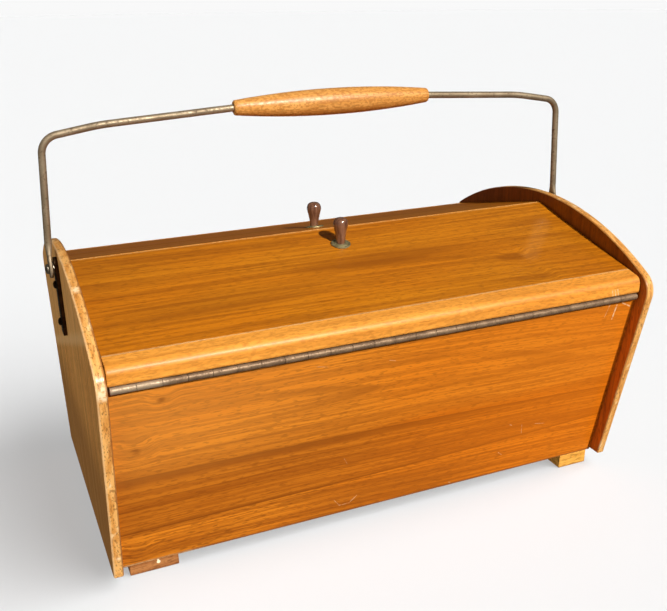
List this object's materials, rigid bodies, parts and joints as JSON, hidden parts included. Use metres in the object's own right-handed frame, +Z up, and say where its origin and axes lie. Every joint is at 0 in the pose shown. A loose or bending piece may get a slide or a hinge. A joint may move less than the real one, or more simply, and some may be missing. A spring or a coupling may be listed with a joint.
{
  "type": "sewing box",
  "caption": "Wooden sewing box with flared, crowned end panels, sloping lids on piano hinges, turned knobs and a swinging bail handle with a wooden grip.",
  "frame": {"origin": "on the surface that the box stands on, under the middle of its bounding box", "axes": "+X to the right along the length, +Y from the front to the back, +Z up"},
  "size_m": [0.4316, 0.275, 0.3136],
  "materials": {
    "wall_veneer": "clear lacquer over figured veneer, grain along the length",
    "lid_veneer": "clear lacquer over veneer, grain along the length",
    "moulding_wood": "clear lacquer over solid wood",
    "end_ply": "clear lacquer, upright grain",
    "inner_ply": "bare plywood",
    "plain_wood": "bare or thinly lacquered wood",
    "knob_wood": "gloss stain",
    "grip_wood": "satin lacquer over turned wood",
    "hinge_metal": "tarnished",
    "rosette_metal": "tarnished",
    "rod_metal": "bronze plating, worn",
    "strap_metal": "dark bronze",
    "rivet_metal": "worn plating",
    "screw_metal": "dull"
  },
  "bodies": {
    "case": {"back_hinge_body_leaf": "hinge_metal", "back_hinge_body_screws": "screw_metal", "back_hinge_pin": "hinge_metal", "back_left_foot": "plain_wood", "back_left_lid_rest": "plain_wood", "back_panel": "wall_veneer", "back_panel_dowels": "plain_wood", "back_right_foot": "plain_wood", "back_right_lid_rest": "plain_wood", "bottom_panel": "inner_ply", "foot_screws": "screw_metal", "front_hinge_body_leaf": "hinge_metal", "front_hinge_body_screws": "screw_metal", "front_hinge_pin": "hinge_metal", "front_left_foot": "plain_wood", "front_left_lid_rest": "plain_wood", "front_panel": "wall_veneer", "front_panel_dowels": "plain_wood", "front_right_foot": "plain_wood", "front_right_lid_rest": "plain_wood", "left_end_panel": "end_ply", "left_handle_rivet": "rivet_metal", "left_handle_strap": "strap_metal", "left_pivot_washer": "rivet_metal", "left_strap_screws": "screw_metal", "right_end_panel": "end_ply", "right_handle_rivet": "rivet_metal", "right_handle_strap": "strap_metal", "right_pivot_washer": "rivet_metal", "right_strap_screws": "screw_metal"},
    "front_lid": {"front_lid_panel": "lid_veneer", "front_lid_moulding": "moulding_wood", "front_hinge_lid_leaf": "hinge_metal", "front_hinge_lid_screws": "screw_metal", "front_knob": "knob_wood", "front_knob_rosette": "rosette_metal", "front_knob_screw": "screw_metal"},
    "back_lid": {"back_lid_panel": "lid_veneer", "back_lid_moulding": "moulding_wood", "back_hinge_lid_leaf": "hinge_metal", "back_hinge_lid_screws": "screw_metal", "back_knob": "knob_wood", "back_knob_rosette": "rosette_metal", "back_knob_screw": "screw_metal"},
    "handle": {"left_handle_rod": "rod_metal", "right_handle_rod": "rod_metal", "handle_grip": "grip_wood"}
  },
  "joints": [
    {"name": "front_lid_hinge", "type": "hinge", "parent": "case", "child": "front_lid", "pos_m": [0, -0.1286, 0.16265], "axis": [1, 0, 0], "range_deg": [0, 175]},
    {"name": "back_lid_hinge", "type": "hinge", "parent": "case", "child": "back_lid", "pos_m": [0, 0.1286, 0.16265], "axis": [-1, 0, 0], "range_deg": [0, 175]},
    {"name": "handle_swing", "type": "hinge", "parent": "case", "child": "handle", "pos_m": [0, 0, 0.203], "axis": [1, 0, 0], "range_deg": [-78, 78]}
  ]
}
